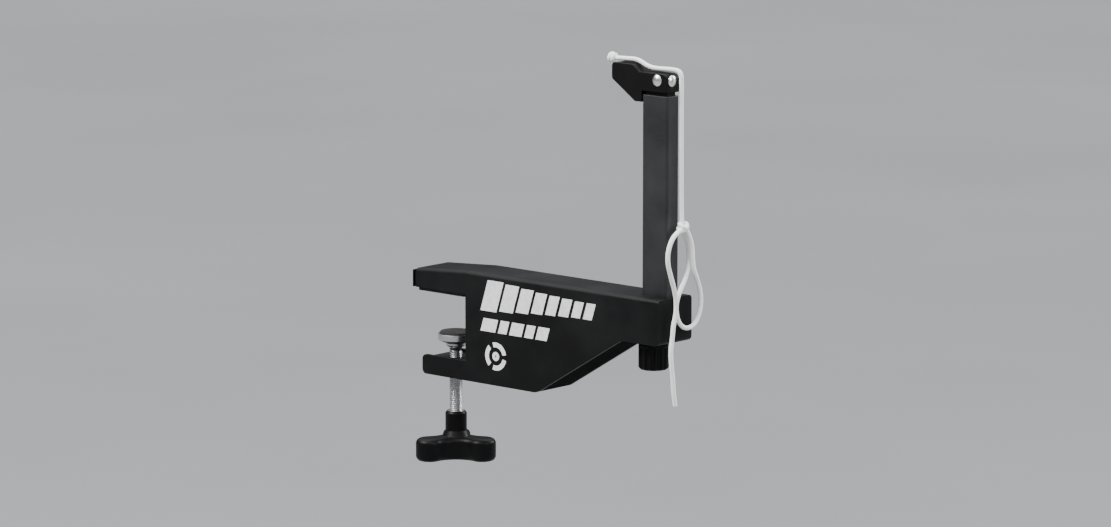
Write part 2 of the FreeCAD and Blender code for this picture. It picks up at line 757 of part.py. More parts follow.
def clamp_knob():
    """Moulded knob: rounded lobes, a bevelled hub, and room for the insert and the cap."""
    blank = knob_blank()
    doc.recompute()
    rims = (SIZE["knob_low"], SIZE["lobe_top"])
    rounded = dress(
        "Part::Fillet", blank, SIZE["lobe_round"],
        lambda e, p: min(abs(p.z - rim) for rim in rims) < 0.01,
    )
    hub_low = minus(d("lobe_top"), d("hub_sink"))
    crown_low = minus(d("hub_top"), d("crown_high"))
    flare = cone(ON_AXIS, hub_low, d("hub_flare_high"), plus(d("hub_r"), d("hub_flare")), d("hub_r"))
    neck = rod("z", ON_AXIS, hub_low, crown_low, d("hub_r"))
    crown = cone(ON_AXIS, crown_low, d("crown_high"), d("hub_r"), minus(d("hub_r"), d("crown_in")))
    room = rod("z", ON_AXIS, d("insert_low"), plus(d("hub_top"), d("past")), d("insert_r"))
    recess = rod(
        "z", ON_AXIS, minus(d("knob_low"), d("past")), plus(d("knob_low"), d("cap_thick")),
        plus(d("cap_r"), d("fit_gap")),
    )
    keep("clamp_knob", cut(fuse([rounded, flare, neck, crown]), [room, recess]))


def knob_insert():
    """Steel bush moulded into the knob, into which the screw is pressed."""
    shell = rod("z", ON_AXIS, d("insert_low"), d("hub_top"), d("insert_r"))
    hole = rod("z", ON_AXIS, d("screw_foot"), plus(d("hub_top"), d("past")), d("thread_r"))
    keep("knob_insert", cut(shell, [hole]))


def knob_cap():
    """Disc that closes the underside of the knob."""
    low = plus(d("knob_low"), d("cap_inset"))
    keep("knob_cap", rod("z", ON_AXIS, low, plus(d("knob_low"), d("cap_thick")), d("cap_r")))


# ---- post and its fixing ----

def post_tube():
    """Rectangular steel tube with rounded long edges."""
    body = new_body("post_tube")
    wide = half(d("post_wide"))
    inner = minus(wide, d("post_wall"))
    rear = minus(d("post_out"), d("post_deep"))
    plan = rectangle(body, "XY_Plane", (rear, negative(wide)), (d("post_out"), wide))
    pad = body.newObject("PartDesign::Pad", "post_pad")
    pad.Profile = plan
    pad.setExpression("Length", d("post_top"))
    pad.setExpression("Length2", negative(d("post_low")))
    pad.SideType = "Two sides"
    doc.recompute()
    round_edges(body, d("post_round"), lambda e, p: runs_along(e, ALONG_Z))
    hollow = rectangle(
        body, "XY_Plane",
        (plus(rear, d("post_wall")), negative(inner)),
        (minus(d("post_out"), d("post_wall")), inner),
    )
    pocket_across(body, hollow, d("through"))


def post_block():
    """Moulded block between the cheeks that holds the foot of the post."""
    wide = plus(half(d("post_wide")), d("post_gap"))
    rear = minus(minus(d("post_out"), d("post_deep")), d("post_gap"))
    inset = plus(d("sheet_steel"), d("fit_gap"))
    low = plus(d("heel_z"), inset)
    top = minus(d("web_top"), inset)
    solid = box((d("block_in"), negative(PLATE_HALF), low), (d("post_out"), PLATE_HALF, top))
    well = box(
        (rear, negative(wide), minus(low, d("past"))),
        (plus(d("post_out"), d("past")), wide, plus(top, d("past"))),
    )
    place = (d("bolt_x"), d("bolt_z"))
    hole_r = plus(d("bolt_r"), d("bolt_gap"))
    hole = bore(place, negative(PLATE_HALF), PLATE_HALF, hole_r, axis="y")
    nut_end = plus(negative(PLATE_HALF), plus(d("bolt_nut"), d("bolt_gap")))
    room = rod("y", place, negative(d("body_half")), nut_end, d("nut_room"))
    keep("post_block", cut(solid, [well, hole, room]))


def post_bolt():
    """Cross bolt through one cheek and the block."""
    place = (d("bolt_x"), d("bolt_z"))
    seat = plus(d("body_half"), d("washer_thick"))
    shank = rod("y", place, plus(negative(PLATE_HALF), d("bolt_short")), seat, d("bolt_r"))
    head = hexagon("y", place, seat, plus(seat, d("bolt_head")), d("bolt_flats"))
    keep("post_bolt", fuse([shank, head]))


def post_washer():
    """Washer under the cross bolt's head, outside the cheek."""
    place = (d("bolt_x"), d("bolt_z"))
    seat = plus(d("body_half"), d("washer_thick"))
    ring = rod("y", place, d("body_half"), seat, d("washer_r"))
    hole = bore(place, d("body_half"), seat, plus(d("bolt_r"), d("bolt_gap")), axis="y")
    keep("post_washer", cut(ring, [hole]))


def post_nut():
    """Cross bolt's nut, held in the block against the other cheek."""
    place = (d("bolt_x"), d("bolt_z"))
    low = negative(PLATE_HALF)
    high = plus(low, d("bolt_nut"))
    nut = hexagon("y", place, low, high, d("bolt_flats"))
    keep("post_nut", cut(nut, [bore(place, low, high, d("bolt_r"), axis="y")]))


# ---- height adjuster ----

def screw_bush():
    """Bearing for the height screw, pressed into the foot of the post."""
    edge = plus(d("post_wall"), d("bush_gap"))
    inner = minus(half(d("post_wide")), edge)
    rear = plus(minus(d("post_out"), d("post_deep")), edge)
    low = d("post_low")
    top = plus(low, d("bush_high"))
    solid = box((rear, negative(inner), low), (minus(d("post_out"), edge), inner, top))
    hole = bore(ON_RISER, low, top, plus(d("riser_r"), d("thread_gap")))
    keep("screw_bush", cut(solid, [hole]))


def height_screw():
    """M5 screw that stays at its height and lifts the slider bar."""
    stem = rod("z", ON_RISER, plus(d("thumb_low"), d("thumb_floor")), d("riser_top"), d("riser_r"))
    tip = cone(
        ON_RISER, d("riser_top"), d("riser_chamfer"),
        d("riser_r"), minus(d("riser_r"), d("riser_chamfer")),
    )
    keep("height_screw", fuse([stem, tip]))


def ring_on_riser(node, low, thick, radius):
    """A ring on the height screw."""
    high = plus(low, thick)
    solid = rod("z", ON_RISER, low, high, radius)
    keep(node, cut(solid, [bore(ON_RISER, low, high, d("riser_r"))]))


def screw_clip():
    """Clip that holds the height screw up, above the bush."""
    low = plus(plus(d("post_low"), d("bush_high")), d("fit_gap"))
    ring_on_riser("screw_clip", low, d("clip_thick"), d("clip_r"))


def thrust_washer():
    """Washer between the height knob and the foot of the post."""
    low = plus(d("thumb_top"), d("thrust_gap"))
    ring_on_riser("thrust_washer", low, d("thrust_thick"), d("thrust_r"))


def height_knob():
    """Fluted thumb knob under the post."""
    drum = rod("z", ON_RISER, d("thumb_low"), d("thumb_top"), d("thumb_r"))
    doc.recompute()
    softened = dress("Part::Chamfer", drum, SIZE["thumb_chamfer"], is_circle)
    pitch_circle = "(dims.thumb_r + dims.flute_out)"
    flutes = []
    for i in range(KNOB_FLUTES):
        turn = f"(360 * {i} / {KNOB_FLUTES} * 1 deg)"
        centre = (f"dims.riser_x + {pitch_circle} * cos({turn})", f"{pitch_circle} * sin({turn})")
        low = minus(d("thumb_low"), d("past"))
        flutes.append(rod("z", centre, low, minus(d("thumb_top"), d("flute_stop")), d("flute_r")))
    hole = rod(
        "z", ON_RISER, plus(d("thumb_low"), d("thumb_floor")), plus(d("thumb_top"), d("past")),
        d("riser_r"),
    )
    keep("height_knob", cut(softened, flutes + [hole]))


def slider_bar():
    """Bar that slides in the post, threaded from below and riveted to the head."""
    edge = plus(d("post_wall"), d("bar_gap"))
    rear = plus(minus(d("post_out"), d("post_deep")), edge)
    front = minus(d("post_out"), edge)
    wide = minus(half(d("post_wide")), edge)
    solid = box((rear, negative(wide), d("bar_low")), (front, wide, d("bar_top")))
    thread = rod(
        "z", ON_RISER, minus(d("bar_low"), d("past")), d("bar_bore_top"),
        plus(d("riser_r"), d("thread_gap")),
    )
    side = bore((d("rivet_x"), d("rivet_z")), negative(wide), wide, d("rivet_r"), axis="y")
    end = rod(
        "x", (d("rivet_y"), d("rivet_z")), minus(d("post_out"), d("rivet_reach")),
        plus(d("post_out"), d("past")), d("rivet_r"),
    )
    keep("slider_bar", cut(solid, [thread, side, end]))


def head_hook():
    """Head on the slider bar: a flat top, a raised hook for the net cord, and a gusset."""
    body = new_body("head_hook")
    rear = minus(minus(d("post_out"), d("post_deep")), d("gusset_gap"))
    side = outline(body, "XZ_Plane", [
        (d("nose_x"), d("nose_low")),
        (d("nose_x"), d("net_height")),
        (d("step_x"), d("net_height")),
        (d("step_end"), d("head_top")),
        (d("post_out"), d("head_top")),
        (d("post_out"), d("head_low")),
        (rear, d("head_low")),
        (rear, d("gusset_low")),
        (d("gusset_x"), d("gusset_low")),
    ])
    pad_across(body, side, d("post_wide"))
    outer = (SIZE["post_out"], SIZE["head_top"])
    round_edges(body, d("head_round"), lambda e, p: runs_along(e, ALONG_Y) and near(p, outer))
    small = [
        (SIZE["nose_x"], SIZE["nose_low"]),
        (SIZE["nose_x"], SIZE["net_height"]),
        (SIZE["step_x"], SIZE["net_height"]),
        (SIZE["step_end"], SIZE["head_top"]),
        (SIZE["gusset_x"], SIZE["gusset_low"]),
    ]
    round_edges(body, half(d("head_round")), lambda e, p: runs_along(e, ALONG_Y) and near(p, *small))
    edge = minus(plus(d("post_wall"), d("bar_gap")), d("socket_gap"))
    wide = minus(half(d("post_wide")), edge)
    socket = outline(body, "XZ_Plane", [
        (plus(minus(d("post_out"), d("post_deep")), edge), minus(d("head_low"), d("past"))),
        (minus(d("post_out"), edge), minus(d("head_low"), d("past"))),
        (minus(d("post_out"), edge), d("bar_top")),
        (plus(minus(d("post_out"), d("post_deep")), edge), d("bar_top")),
    ])
    pocket_across(body, socket, f"2 * ({wide})")
    side_hole = circle(body, "XZ_Plane", d("rivet_x"), d("rivet_z"), d("rivet_r"))
    pocket_across(body, side_hole, d("through"))
    end_hole = circle(body, "YZ_Plane", d("rivet_y"), d("rivet_z"), d("rivet_r"))
    end_hole.setExpression(".AttachmentOffset.Base.z", minus(d("post_out"), d("rivet_reach")))
    pocket_one_way(body, end_hole, "2 * dims.rivet_reach", turned=True)


def dome(axis, centre, seat, outward):
    """A rivet's domed head: the slice of a sphere that stands on its seat."""
    cap = doc.addObject("Part::Sphere", "dome")
    sphere = "((dims.rivet_head_r ^ 2 + dims.rivet_dome ^ 2) / (2 * dims.rivet_dome))"
    cap.setExpression("Radius", sphere)
    others = [letter for letter in "xyz" if letter != axis]
    for letter, place in zip(others, centre):
        cap.setExpression(f".Placement.Base.{letter}", place)
    inward = minus(sphere, d("rivet_dome"))
    sunk = minus(seat, inward) if outward > 0 else plus(seat, inward)
    cap.setExpression(f".Placement.Base.{axis}", sunk)
    room = d("rivet_head_r")
    start, stop = (seat, plus(seat, room)) if outward > 0 else (minus(seat, room), seat)
    slab = rod(axis, centre, start, stop, "2 * dims.rivet_head_r")
    slice_of_it = doc.addObject("Part::Common", "cap")
    slice_of_it.Base = cap
    slice_of_it.Tool = slab
    return slice_of_it


def head_rivets():
    """One rivet through the head and bar from side to side, and one in its outer end."""
    side = (d("rivet_x"), d("rivet_z"))
    wide = half(d("post_wide"))
    through = fuse([
        rod("y", side, negative(wide), wide, d("rivet_r")),
        dome("y", side, wide, 1),
        dome("y", side, negative(wide), -1),
    ])
    end = (d("rivet_y"), d("rivet_z"))
    outer = fuse([
        rod("x", end, minus(d("post_out"), d("rivet_reach")), d("post_out"), d("rivet_r")),
        dome("x", end, d("post_out"), 1),
    ])
    pair = doc.addObject("Part::Compound", "rivets")
    pair.Links = [through, outer]
    keep("head_rivets", pair)


# ---- net cord ----

def route_wire(points):
    """Straight runs joined by tangent arcs, each as large as its two runs allow."""
    corners = [Vector(*p) for p in points]
    edges = []
    radii = []
    start = corners[0]
    for before, corner, after in zip(corners, corners[1:], corners[2:]):
        back = before - corner
        ahead = after - corner
        reach = ARC_SHARE * min(back.Length, ahead.Length)
        back.normalize()
        ahead.normalize()
        half_turn = (math.pi - back.getAngle(ahead)) / 2
        radius = reach / math.tan(half_turn)
        into = corner + back * reach
        out = corner + ahead * reach
        bisector = back + ahead
        bisector.normalize()
        middle = corner + bisector * (radius / math.cos(half_turn) - radius)
        edges.append(Part.LineSegment(start, into).toShape())
        edges.append(Part.Arc(into, middle, out).toShape())
        radii.append(radius)
        start = out
    edges.append(Part.LineSegment(start, corners[-1]).toShape())
    return Part.Wire(edges), radii


def cord(node, points):
    """A round cord along its route."""
    wire, radii = route_wire(points)
    radius = SIZE["cord_thick"] / 2
    first = wire.Edges[0]
    section = Part.Wire([Part.Circle(first.valueAt(0), first.tangentAt(0), radius).toShape()])
    tube = wire.makePipeShell([section], True, True)
    expected = math.pi * radius ** 2 * wire.Length
    assert abs(tube.Volume - expected) < 0.01 * expected, node
    print(node, "length", round(wire.Length, 1), "radii", [round(r, 1) for r in radii])
    feature = doc.addObject("Part::Feature", node)
    feature.Shape = tube
    feature.Placement = Placement()
    keep(node, feature)


def knot(node, centre, radius):
    """Plain rounded solid of a knot's size."""
    ball = doc.addObject("Part::Sphere", node)
    ball.setExpression("Radius", radius)
    ball.Placement = Placement(Vector(*centre), Rotation())
    keep(node, ball)


def check():
    """Stop if any object failed or any sub-part has no valid solid."""
    doc.recompute()
    for item in doc.Objects:
        if "Invalid" in item.State or "Error" in item.State:
            raise RuntimeError(f"{item.Label} failed: {item.State}")
    for node, item in pieces.items():
        if item.Shape.isNull() or not item.Shape.isValid() or not item.Shape.Solids:
            raise RuntimeError(f"{node} has no valid solid")


def main():
    fill_sheet()
    for build in (
        bracket_channel, under_plate, throat_plate, edge_buffer, top_jaw_plate, top_jaw_pad,
        tip_plug, lower_jaw_plate, jaw_nut, pad_cup, pad_rubber, pad_socket, clamp_screw,
        clamp_knob, knob_insert, knob_cap, post_tube, post_block, post_bolt, post_washer,
        post_nut, screw_bush, screw_clip, thrust_washer, height_screw, height_knob, slider_bar,
        head_hook, head_rivets,
    ):
        build()
    cord("cord_run", RUN_ROUTE)
    cord("cord_loop", LOOP_ROUTE)
    cord("cord_tail", TAIL_ROUTE)
    knot("cord_knot", HANGING_KNOT, d("knot_r"))
    knot("stopper_knot", STOPPER_KNOT, d("stopper_r"))
    check()
    os.makedirs("parts", exist_ok=True)
    for node, item in pieces.items():
        item.Shape.exportStep(f"parts/{node}.step")
    print(len(pieces), "sub-parts written")


main()
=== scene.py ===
import math

import bmesh
import bpy
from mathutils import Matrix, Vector


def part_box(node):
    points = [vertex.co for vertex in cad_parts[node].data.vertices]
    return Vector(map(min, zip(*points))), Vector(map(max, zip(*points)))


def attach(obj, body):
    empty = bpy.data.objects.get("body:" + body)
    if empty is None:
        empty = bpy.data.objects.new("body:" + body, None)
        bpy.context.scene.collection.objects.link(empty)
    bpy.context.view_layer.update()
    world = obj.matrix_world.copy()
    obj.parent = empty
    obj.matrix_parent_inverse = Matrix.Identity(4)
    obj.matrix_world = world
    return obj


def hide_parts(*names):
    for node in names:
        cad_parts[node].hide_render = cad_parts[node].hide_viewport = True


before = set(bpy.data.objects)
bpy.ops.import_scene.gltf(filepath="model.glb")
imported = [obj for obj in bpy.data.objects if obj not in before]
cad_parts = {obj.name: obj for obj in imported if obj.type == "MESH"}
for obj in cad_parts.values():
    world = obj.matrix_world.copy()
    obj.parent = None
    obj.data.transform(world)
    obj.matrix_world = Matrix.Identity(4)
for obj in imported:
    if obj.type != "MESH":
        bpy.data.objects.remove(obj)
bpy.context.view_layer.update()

# Table tennis net clamp. Metres, in the CAD frame: origin on the clamp screw's axis at the
# playing surface, +X outward from the table, +Z up.

MM = 0.001
TAU = 2 * math.pi


def low(node):
    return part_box(node)[0]


def high(node):
    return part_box(node)[1]


def middle(node):
    lowest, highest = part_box(node)
    return (Vector(lowest) + Vector(highest)) / 2


# ---------------------------------------------------------------- camera

CAMERA_AZIMUTH = 42
CAMERA_ELEVATION = 9.7
CAMERA_DISTANCE = 3.05
CAMERA_AIM = Vector((82, 0, 26)) * MM
LENS = 165
SENSOR_WIDTH = 36


def make_camera():
    """A long lens at the photograph's viewing angle and distance."""
    azimuth, elevation = math.radians(CAMERA_AZIMUTH), math.radians(CAMERA_ELEVATION)
    back = Vector((
        math.sin(azimuth) * math.cos(elevation),
        -math.cos(azimuth) * math.cos(elevation),
        math.sin(elevation),
    ))
    data = bpy.data.cameras.new("camera")
    data.lens = LENS
    data.sensor_width = SENSOR_WIDTH
    data.clip_start, data.clip_end = 0.1, 60
    camera = bpy.data.objects.new("camera", data)
    camera.location = CAMERA_AIM + back * CAMERA_DISTANCE
    camera.rotation_mode = "QUATERNION"
    camera.rotation_quaternion = (-back).to_track_quat("-Z", "Y")
    bpy.context.scene.collection.objects.link(camera)
    bpy.context.scene.camera = camera


make_camera()


# ---------------------------------------------------------------- node materials

class Nodes:
    """A material's node tree, with short ways to add what the materials here share.

    Noise scales are waves per metre, and bevel radii and bump distances are in metres.
    """

    def __init__(self, name):
        self.material = bpy.data.materials.new(name)
        self.material.use_nodes = True
        self.tree = self.material.node_tree
        self.shader = self.tree.nodes["Principled BSDF"]
        self.place = self.tree.nodes.new("ShaderNodeTexCoord").outputs["Object"]

    def add(self, kind, **settings):
        node = self.tree.nodes.new("ShaderNode" + kind)
        for key, value in settings.items():
            setattr(node, key, value)
        return node

    def link(self, output, target):
        self.tree.links.new(output, target)

    def set(self, **values):
        """Constant values on the shader's own sockets."""
        for key, value in values.items():
            self.shader.inputs[key.replace("_", " ")].default_value = value

    def noise(self, scale, detail, rough, stretch=None):
        node = self.add("TexNoise")
        node.inputs["Scale"].default_value = scale
        node.inputs["Detail"].default_value = detail
        node.inputs["Roughness"].default_value = rough
        source = self.place
        if stretch:
            mapping = self.add("Mapping")
            mapping.inputs["Scale"].default_value = stretch
            self.link(source, mapping.inputs["Vector"])
            source = mapping.outputs["Vector"]
        self.link(source, node.inputs["Vector"])
        return node.outputs["Fac"]

    def span(self, value, a, b, c, d):
        """Map a value from the range a..b to c..d, clamped."""
        node = self.add("MapRange")
        for key, number in zip(("From Min", "From Max", "To Min", "To Max"), (a, b, c, d)):
            node.inputs[key].default_value = number
        self.link(value, node.inputs["Value"])
        return node.outputs["Result"]

    def math(self, operation, first, second):
        node = self.add("Math", operation=operation)
        self.link(first, node.inputs[0])
        self.link(second, node.inputs[1])
        return node.outputs["Value"]

    def mix(self, share, first, second):
        """Blend two colours; a colour is a triple or a socket."""
        node = self.add("Mix", data_type="RGBA")
        self.link(share, node.inputs["Factor"])
        for socket, value in zip((node.inputs[6], node.inputs[7]), (first, second)):
            if isinstance(value, tuple):
                socket.default_value = (*value, 1.0)
            else:
                self.link(value, socket)
        return node.outputs[2]

    def soft_normal(self, radius):
        """The surface's normal, turned smoothly over its edges."""
        bevel = self.add("Bevel", samples=6)
        bevel.inputs["Radius"].default_value = radius
        return bevel.outputs["Normal"]

    def edges(self, soft_normal):
        """Near 1 on sharp edges, 0 on flat ground."""
        geometry = self.add("NewGeometry")
        dot = self.add("VectorMath", operation="DOT_PRODUCT")
        self.link(soft_normal, dot.inputs[0])
        self.link(geometry.outputs["Normal"], dot.inputs[1])
        return self.span(dot.outputs["Value"], 0.98, 0.80, 0.0, 1.0)

    def bump(self, height, strength, distance, under=None):
        node = self.add("Bump")
        node.inputs["Strength"].default_value = strength
        node.inputs["Distance"].default_value = distance
        self.link(height, node.inputs["Height"])
        if under is not None:
            self.link(under, node.inputs["Normal"])
        return node.outputs["Normal"]

    def finish(self, color, roughness=None, normal=None):
        self.link(color, self.shader.inputs["Base Color"])
        if roughness is not None:
            self.link(roughness, self.shader.inputs["Roughness"])
        if normal is not None:
            self.link(normal, self.shader.inputs["Normal"])
        return self.material


BARE_STEEL = (0.060, 0.060, 0.060)


def shade(tone, share):
    """A darker or lighter version of a colour."""
    return tuple(c * share for c in tone)


def powder_coat(name, tone, gloss, rough_low, rough_high):
    """Black powder coat: fine orange peel, faint dust and rubs, edges worn to grey."""
    n = Nodes(name)
    cloud = n.noise(26, 4, 0.6)
    grain = n.noise(1500, 2, 0.5)
    peel = n.noise(520, 2, 0.4)
    rubs = n.noise(90, 5, 0.7, (1.0, 1.0, 9.0))
    soft = n.soft_normal(0.0005)
    dust = n.span(cloud, 0.42, 0.75, 0.0, 0.5)
    base = n.mix(dust, tone, shade(tone, 3.0))
    patches = n.span(n.noise(160, 4, 0.7), 0.50, 0.68, 0.0, 0.7)
    worn = n.math("MULTIPLY", n.edges(soft), patches)
    color = n.mix(worn, base, BARE_STEEL)
    rough = n.math(
        "ADD", n.span(rubs, 0.3, 0.7, rough_low, rough_high), n.span(grain, 0.3, 0.7, -0.03, 0.03)
    )
    rough = n.math("ADD", rough, n.span(cloud, 0.35, 0.72, -0.05, 0.06))
    normal = n.bump(peel, 0.20, 0.00010, soft)
    normal = n.bump(grain, 0.12, 0.00004, normal)
    n.set(Metallic=0.0, Specular_IOR_Level=gloss)
    return n.finish(color, rough, normal)


def moulded_plastic(name, tone, rough_low, rough_high):
    """Moulded black plastic with a spark-eroded grain and shiny rubbed edges."""
    n = Nodes(name)
    grain = n.noise(900, 3, 0.6)
    cloud = n.noise(60, 4, 0.6)
    soft = n.soft_normal(0.0006)
    patches = n.span(cloud, 0.35, 0.7, 0.0, 1.0)
    color = n.mix(patches, shade(tone, 0.85), shade(tone, 1.35))
    scuffs = n.span(n.noise(240, 5, 0.75, (1.0, 2.0, 5.0)), 0.60, 0.74, 0.0, 0.5)
    color = n.mix(n.math("MULTIPLY", scuffs, n.edges(soft)), color, shade(tone, 5))
    rough = n.math(
        "SUBTRACT", n.span(grain, 0.3, 0.7, rough_low, rough_high),
        n.span(n.edges(soft), 0, 1, 0.0, 0.10),
    )
    n.set(Specular_IOR_Level=0.10)
    return n.finish(color, rough, n.bump(grain, 0.22, 0.00008, soft))


def rubber():
    """Matt black rubber with a fine grain and a little pale bloom."""
    n = Nodes("black_rubber")
    grain = n.noise(1300, 4, 0.7)
    bloom = n.span(n.noise(120, 5, 0.65), 0.45, 0.72, 0.0, 0.8)
    color = n.mix(bloom, (0.010, 0.010, 0.010), (0.030, 0.030, 0.029))
    rough = n.span(grain, 0.3, 0.7, 0.68, 0.88)
    n.set(Specular_IOR_Level=0.3)
    return n.finish(color, rough, n.bump(grain, 0.35, 0.00012, n.soft_normal(0.0004)))


def plated_steel(name, tone, rough_low, rough_high, turned=False):
    """Plated steel: cloudy passivation, fine scratches and, on turned pieces, lathe lines."""
    n = Nodes(name)
    cloud = n.noise(70, 5, 0.6)
    scratch = n.noise(500, 4, 0.75, (1.0, 1.0, 14.0) if turned else (6.0, 1.0, 1.0))
    spots = n.span(n.noise(330, 5, 0.7), 0.62, 0.74, 0.0, 0.55)
    color = n.mix(n.span(cloud, 0.35, 0.7, 0.0, 1.0), shade(tone, 0.80), tone)
    color = n.mix(spots, color, shade(tone, 0.55))
    rough = n.math(
        "ADD", n.span(cloud, 0.3, 0.7, rough_low, rough_high), n.span(scratch, 0.3, 0.7, -0.05, 0.06)
    )
    n.set(Metallic=1.0)
    return n.finish(color, rough, n.bump(scratch, 0.12, 0.00005, n.soft_normal(0.0003)))


def cord_fibre():
    """White polyester yarn: fine filament lines, a little grey in the hollows."""
    n = Nodes("cord_fibre")
    fibre = n.noise(2600, 3, 0.6)
    soil = n.span(n.noise(45, 4, 0.6), 0.45, 0.8, 0.0, 0.5)
    color = n.mix(soil, (0.90, 0.90, 0.88), (0.70, 0.69, 0.65))
    color = n.mix(n.span(fibre, 0.35, 0.65, 0.0, 0.18), color, (0.50, 0.50, 0.49))
    rough = n.span(fibre, 0.3, 0.7, 0.62, 0.85)
    n.set(Sheen_Weight=0.25, Sheen_Roughness=0.5)
    return n.finish(color, rough, n.bump(fibre, 0.35, 0.00008))


def screen_ink():
    """White screen-printed ink, slightly thin and chipped."""
    n = Nodes("screen_ink")
    thin = n.noise(420, 4, 0.7)
    color = n.mix(n.span(thin, 0.38, 0.72, 0.0, 1.0), (0.84, 0.84, 0.83), (0.62, 0.62, 0.62))
    return n.finish(color, n.span(thin, 0.3, 0.7, 0.42, 0.58), n.bump(thin, 0.15, 0.00003))


COAT = powder_coat("powder_coat", (0.0050, 0.0051, 0.0054), 0.10, 0.40, 0.54)
POST_COAT = powder_coat("post_coat", (0.0115, 0.0117, 0.0124), 0.48, 0.30, 0.42)
# A darker, nearly glossless copy of the powder coat for the under plate: its tone is painted shade
# for the bracket's underside.
UNDERSIDE_SHADE_COAT = powder_coat("painted_shade_underside_coat", (0.0022, 0.0022, 0.0023), 0.01, 0.70, 0.85)
KNOB_PLASTIC = moulded_plastic("knob_plastic", (0.0034, 0.0034, 0.0036), 0.34, 0.48)
HEAD_PLASTIC = moulded_plastic("head_plastic", (0.0042, 0.0042, 0.0045), 0.42, 0.56)
NYLON = moulded_plastic("block_nylon", (0.045, 0.045, 0.048), 0.45, 0.6)
RUBBER = rubber()
ZINC = plated_steel("zinc_plate", (0.66, 0.67, 0.68), 0.26, 0.40, turned=True)
BRIGHT = plated_steel("bright_plate", (0.90, 0.89, 0.87), 0.22, 0.34)
FIBRE = cord_fibre()
INK = screen_ink()

# The under plate takes the darker copy of the coat, which paints shade on the bracket's underside.
CAD_LOOKS = {
    "bracket_channel": COAT, "under_plate": UNDERSIDE_SHADE_COAT, "throat_plate": COAT,
    "top_jaw_plate": COAT, "lower_jaw_plate": COAT, "post_tube": POST_COAT, "slider_bar": COAT,
    "top_jaw_pad": RUBBER, "edge_buffer": RUBBER, "pad_rubber": RUBBER,
    "tip_plug": HEAD_PLASTIC, "clamp_knob": KNOB_PLASTIC, "knob_cap": HEAD_PLASTIC,
    "head_hook": HEAD_PLASTIC, "height_knob": KNOB_PLASTIC,
    "post_block": NYLON, "screw_bush": NYLON,
    "jaw_nut": ZINC, "pad_cup": ZINC, "pad_socket": ZINC, "clamp_screw": ZINC,
    "knob_insert": ZINC, "height_screw": ZINC, "screw_clip": ZINC, "thrust_washer": ZINC,
    "post_nut": ZINC,
    "post_bolt": BRIGHT, "post_washer": BRIGHT, "head_rivets": BRIGHT,
}
for node, look in CAD_LOOKS.items():
    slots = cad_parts[node].data.materials
    for i in range(len(slots)):
        slots[i] = look


# ---------------------------------------------------------------- meshes

def new_piece(name, mesh, look, body, smooth=True):
    """A mesh piece that rides on a body."""
    mesh.materials.append(look)
    for polygon in mesh.polygons:
        polygon.use_smooth = smooth
    piece = bpy.data.objects.new(name, mesh)
    bpy.context.scene.collection.objects.link(piece)
    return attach(piece, body)


def ring_mesh(name, rings):
    """A closed skin through rings of equal size, with a flat cap at each end."""
    count = len(rings[0])
    points = [point for ring in rings for point in ring]
    faces = []
    for r in range(len(rings) - 1):
        a, b = r * count, (r + 1) * count
        for i in range(count):
            j = (i + 1) % count
            faces.append((a + i, a + j, b + j, b + i))
    faces.append(tuple(reversed(range(count))))
    last = (len(rings) - 1) * count
    faces.append(tuple(range(last, last + count)))
    mesh = bpy.data.meshes.new(name)
    mesh.from_pydata([tuple(p) for p in points], [], faces)
    mesh.validate()
    return mesh


# ---------------------------------------------------------------- cord

CORD = 2.8 * MM
BRAID_STEP = 0.25 * MM
BRAID_SIDES = 36
BRAID_STRANDS = 8
BRAID_LEAN = 520.0  # radians of turn per metre of cord
BRAID_RELIEF = 0.16 * MM
END_ROUNDNESS = 0.75
KNOT_TURNS = 1.8
TURN_STEPS = 60
RETURN_STEPS = 24
RUN_ROUTE = [
    (129.6, 0.0, 154.4), (138.5, 0.2, 154.6), (147.0, 0.5, 154.9), (154.6, 1.0, 150.9),
    (162.6, 1.5, 150.5), (171.2, 2.0, 150.9), (178.4, 2.5, 150.3), (178.5, 2.7, 142.6),
    (178.3, 2.8, 130.0), (178.7, 2.5, 108.0), (178.4, 2.9, 78.0), (179.2, 2.6, 60.2),
]
LOOP_ROUTE = [
    (181.6, 4.4, 56.6), (181.7, 7.4, 51.4), (181.8, 9.2, 45.4), (181.6, 9.6, 38.8),
    (181.5, 10.9, 32.4), (181.3, 14.2, 26.4), (181.2, 17.0, 19.6), (181.0, 18.4, 12.2),
    (180.8, 17.0, 5.2), (180.6, 13.7, 0.0), (180.5, 8.4, -2.4), (180.4, 2.7, -1.4),
    (180.3, -1.5, 2.6), (180.2, -3.4, 8.5), (180.2, -3.1, 14.7), (180.1, -0.3, 20.2),
    (179.8, 3.7, 25.0), (179.2, 7.6, 30.2), (178.6, 9.9, 36.6), (178.4, 10.1, 43.4),
    (178.4, 8.2, 49.9), (178.5, 4.8, 55.6),
]
TAIL_ROUTE = [
    (181.6, -0.6, 57.8), (183.0, -6.6, 56.2), (183.9, -12.0, 53.0), (184.3, -15.7, 46.6),
    (184.3, -15.9, 39.4), (184.2, -13.0, 31.6), (184.2, -9.9, 24.0), (184.3, -8.0, 16.2),
    (184.5, -8.6, 8.6), (184.5, -11.0, 1.8), (184.4, -11.5, -5.2), (184.2, -12.9, -12.6),
    (184.1, -12.1, -20.6), (184.0, -10.6, -29.2), (183.9, -9.9, -38.0), (183.8, -8.0, -46.6),
]


def spline_points(points):
    """The line of a NURBS spline with these control points, in order."""
    curve = bpy.data.curves.new("route", "CURVE")
    curve.dimensions = "3D"
    spline = curve.splines.new("NURBS")
    spline.points.add(len(points) - 1)
    for target, point in zip(spline.points, points):
        target.co = (*(c * MM for c in point), 1.0)
    spline.order_u = 3
    spline.use_endpoint_u = True
    curve.resolution_u = 24
    holder = bpy.data.objects.new("route", curve)
    bpy.context.scene.collection.objects.link(holder)
    bpy.context.view_layer.update()
    line = bpy.data.meshes.new_from_object(holder)
    path = [vertex.co.copy() for vertex in line.vertices]
    bpy.data.objects.remove(holder)
    bpy.data.curves.remove(curve)
    bpy.data.meshes.remove(line)
    return path


